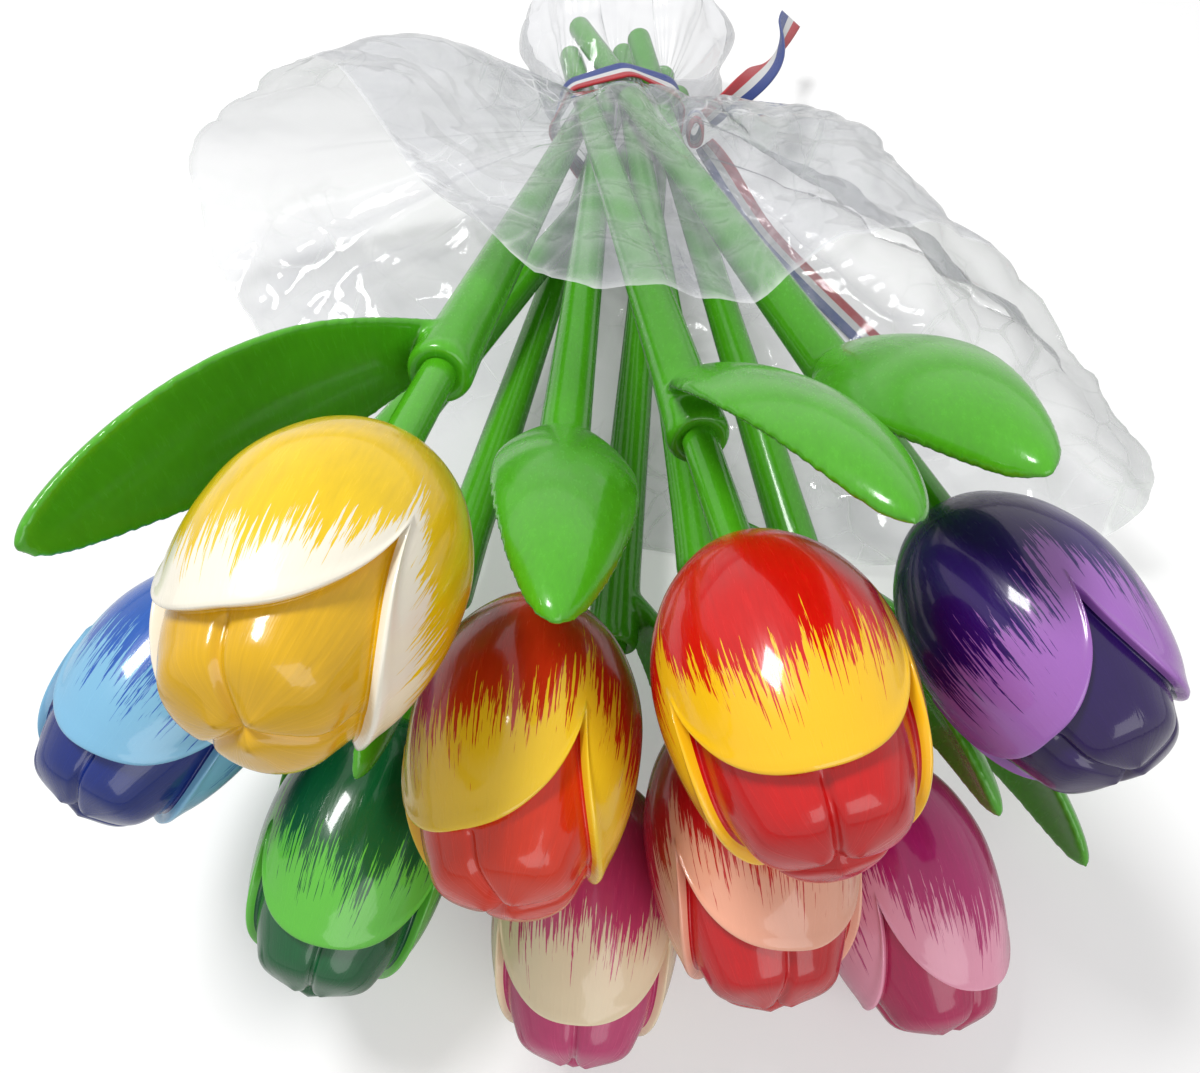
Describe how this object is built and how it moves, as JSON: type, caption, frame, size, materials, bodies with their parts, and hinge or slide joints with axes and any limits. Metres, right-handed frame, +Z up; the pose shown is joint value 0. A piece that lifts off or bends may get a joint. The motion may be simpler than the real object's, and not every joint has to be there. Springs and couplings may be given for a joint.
{
  "type": "bunch of wooden tulips",
  "caption": "Bunch of carved and painted wooden tulips on green leafed stems, gathered in a clear film wrap and tied with a striped ribbon.",
  "frame": {"origin": "middle of the bunch's floor area, on the table it lies on", "axes": "+Z up, +Y from the blooms towards the cut stem ends, +X to the right as seen from the blooms' side"},
  "size_m": [0.2852, 0.378, 0.1528],
  "materials": {
    "paint_yellow": "brushed paint under gloss lacquer, yellow with white lips",
    "paint_red_yellow": "brushed paint under gloss lacquer, red with golden yellow lips",
    "paint_orange": "brushed paint under gloss lacquer, orange red with yellow lips",
    "paint_purple": "brushed paint under gloss lacquer, purple with lilac lips",
    "paint_blue": "brushed paint under gloss lacquer, blue with light blue lips",
    "paint_green": "brushed paint under gloss lacquer, dark green with light green lips",
    "paint_pink": "brushed paint under gloss lacquer, pink with cream lips",
    "paint_red_cream": "brushed paint under gloss lacquer, red with cream lips",
    "paint_magenta": "brushed paint under gloss lacquer, magenta with light pink lips",
    "green_lacquer": "green paint with brush marks and pores under gloss lacquer",
    "clear_film": "clear crinkled film with white glints along its creases",
    "striped_ribbon": "woven ribbon with a red, a white and a blue stripe along it"
  },
  "bodies": {
    "wrap": {"film_neck": "clear_film", "film_skirt": "clear_film", "film_sleeve": "clear_film", "ribbon_band": "striped_ribbon", "ribbon_knot": "striped_ribbon", "ribbon_tail_back": "striped_ribbon", "ribbon_tail_front": "striped_ribbon"},
    "stem_yellow": {"leaf_stem_yellow": "green_lacquer"},
    "head_yellow": {"bloom_yellow": "paint_yellow", "upper_stem_yellow": "green_lacquer"},
    "stem_red_yellow": {"leaf_stem_red_yellow": "green_lacquer"},
    "head_red_yellow": {"bloom_red_yellow": "paint_red_yellow", "upper_stem_red_yellow": "green_lacquer"},
    "stem_orange": {"leaf_stem_orange": "green_lacquer"},
    "head_orange": {"bloom_orange": "paint_orange", "upper_stem_orange": "green_lacquer"},
    "stem_purple": {"leaf_stem_purple": "green_lacquer"},
    "head_purple": {"bloom_purple": "paint_purple", "upper_stem_purple": "green_lacquer"},
    "stem_blue": {"leaf_stem_blue": "green_lacquer"},
    "head_blue": {"bloom_blue": "paint_blue", "upper_stem_blue": "green_lacquer"},
    "stem_green": {"leaf_stem_green": "green_lacquer"},
    "head_green": {"bloom_green": "paint_green", "upper_stem_green": "green_lacquer"},
    "stem_pink": {"leaf_stem_pink": "green_lacquer"},
    "head_pink": {"bloom_pink": "paint_pink", "upper_stem_pink": "green_lacquer"},
    "stem_red_cream": {"leaf_stem_red_cream": "green_lacquer"},
    "head_red_cream": {"bloom_red_cream": "paint_red_cream", "upper_stem_red_cream": "green_lacquer"},
    "stem_magenta": {"leaf_stem_magenta": "green_lacquer"},
    "head_magenta": {"bloom_magenta": "paint_magenta", "upper_stem_magenta": "green_lacquer"}
  },
  "joints": [
    {"name": "slide_yellow", "type": "slide", "parent": "wrap", "child": "stem_yellow", "axis": [-0.1248, -0.9113, 0.3923], "range_m": [0, 0.039]},
    {"name": "turn_yellow", "type": "hinge", "parent": "stem_yellow", "child": "head_yellow", "pos_m": [-0.03985, -0.06232, 0.10263], "axis": [-0.1248, -0.9113, 0.3923], "continuous": true},
    {"name": "slide_red_yellow", "type": "slide", "parent": "wrap", "child": "stem_red_yellow", "axis": [0.1374, -0.9538, 0.2672], "range_m": [0, 0.041]},
    {"name": "turn_red_yellow", "type": "hinge", "parent": "stem_red_yellow", "child": "head_red_yellow", "pos_m": [0.01646, -0.06947, 0.08862], "axis": [0.1374, -0.9538, 0.2672], "continuous": true},
    {"name": "slide_orange", "type": "slide", "parent": "wrap", "child": "stem_orange", "axis": [-0.0595, -0.9726, 0.225], "range_m": [0, 0.043]},
    {"name": "turn_orange", "type": "hinge", "parent": "stem_orange", "child": "head_orange", "pos_m": [-0.0157, -0.07083, 0.0698], "axis": [-0.0595, -0.9726, 0.225], "continuous": true},
    {"name": "slide_purple", "type": "slide", "parent": "wrap", "child": "stem_purple", "axis": [0.2913, -0.9353, 0.2011], "range_m": [0, 0.054]},
    {"name": "turn_purple", "type": "hinge", "parent": "stem_purple", "child": "head_purple", "pos_m": [0.0578, -0.05321, 0.07721], "axis": [0.2913, -0.9353, 0.2011], "continuous": true},
    {"name": "slide_blue", "type": "slide", "parent": "wrap", "child": "stem_blue", "axis": [-0.3981, -0.8984, 0.1857], "range_m": [0, 0.043]},
    {"name": "turn_blue", "type": "hinge", "parent": "stem_blue", "child": "head_blue", "pos_m": [-0.07026, -0.05663, 0.05158], "axis": [-0.3981, -0.8984, 0.1857], "continuous": true},
    {"name": "slide_green", "type": "slide", "parent": "wrap", "child": "stem_green", "axis": [-0.202, -0.9756, 0.0854], "range_m": [0, 0.035]},
    {"name": "turn_green", "type": "hinge", "parent": "stem_green", "child": "head_green", "pos_m": [-0.04785, -0.07952, 0.02751], "axis": [-0.202, -0.9756, 0.0854], "continuous": true},
    {"name": "slide_pink", "type": "slide", "parent": "wrap", "child": "stem_pink", "axis": [-0.0906, -0.9959, 0.0017], "range_m": [0, 0.028]},
    {"name": "turn_pink", "type": "hinge", "parent": "stem_pink", "child": "head_pink", "pos_m": [-0.00259, -0.09086, 0.02267], "axis": [-0.0906, -0.9959, 0.0017], "continuous": true},
    {"name": "slide_red_cream", "type": "slide", "parent": "wrap", "child": "stem_red_cream", "axis": [0.0712, -0.9936, 0.0872], "range_m": [0, 0.037]},
    {"name": "turn_red_cream", "type": "hinge", "parent": "stem_red_cream", "child": "head_red_cream", "pos_m": [0.02124, -0.08147, 0.04712], "axis": [0.0712, -0.9936, 0.0872], "continuous": true},
    {"name": "slide_magenta", "type": "slide", "parent": "wrap", "child": "stem_magenta", "axis": [0.1803, -0.9826, -0.0454], "range_m": [0, 0.03]},
    {"name": "turn_magenta", "type": "hinge", "parent": "stem_magenta", "child": "head_magenta", "pos_m": [0.05368, -0.08567, 0.02553], "axis": [0.1803, -0.9826, -0.0454], "continuous": true}
  ]
}
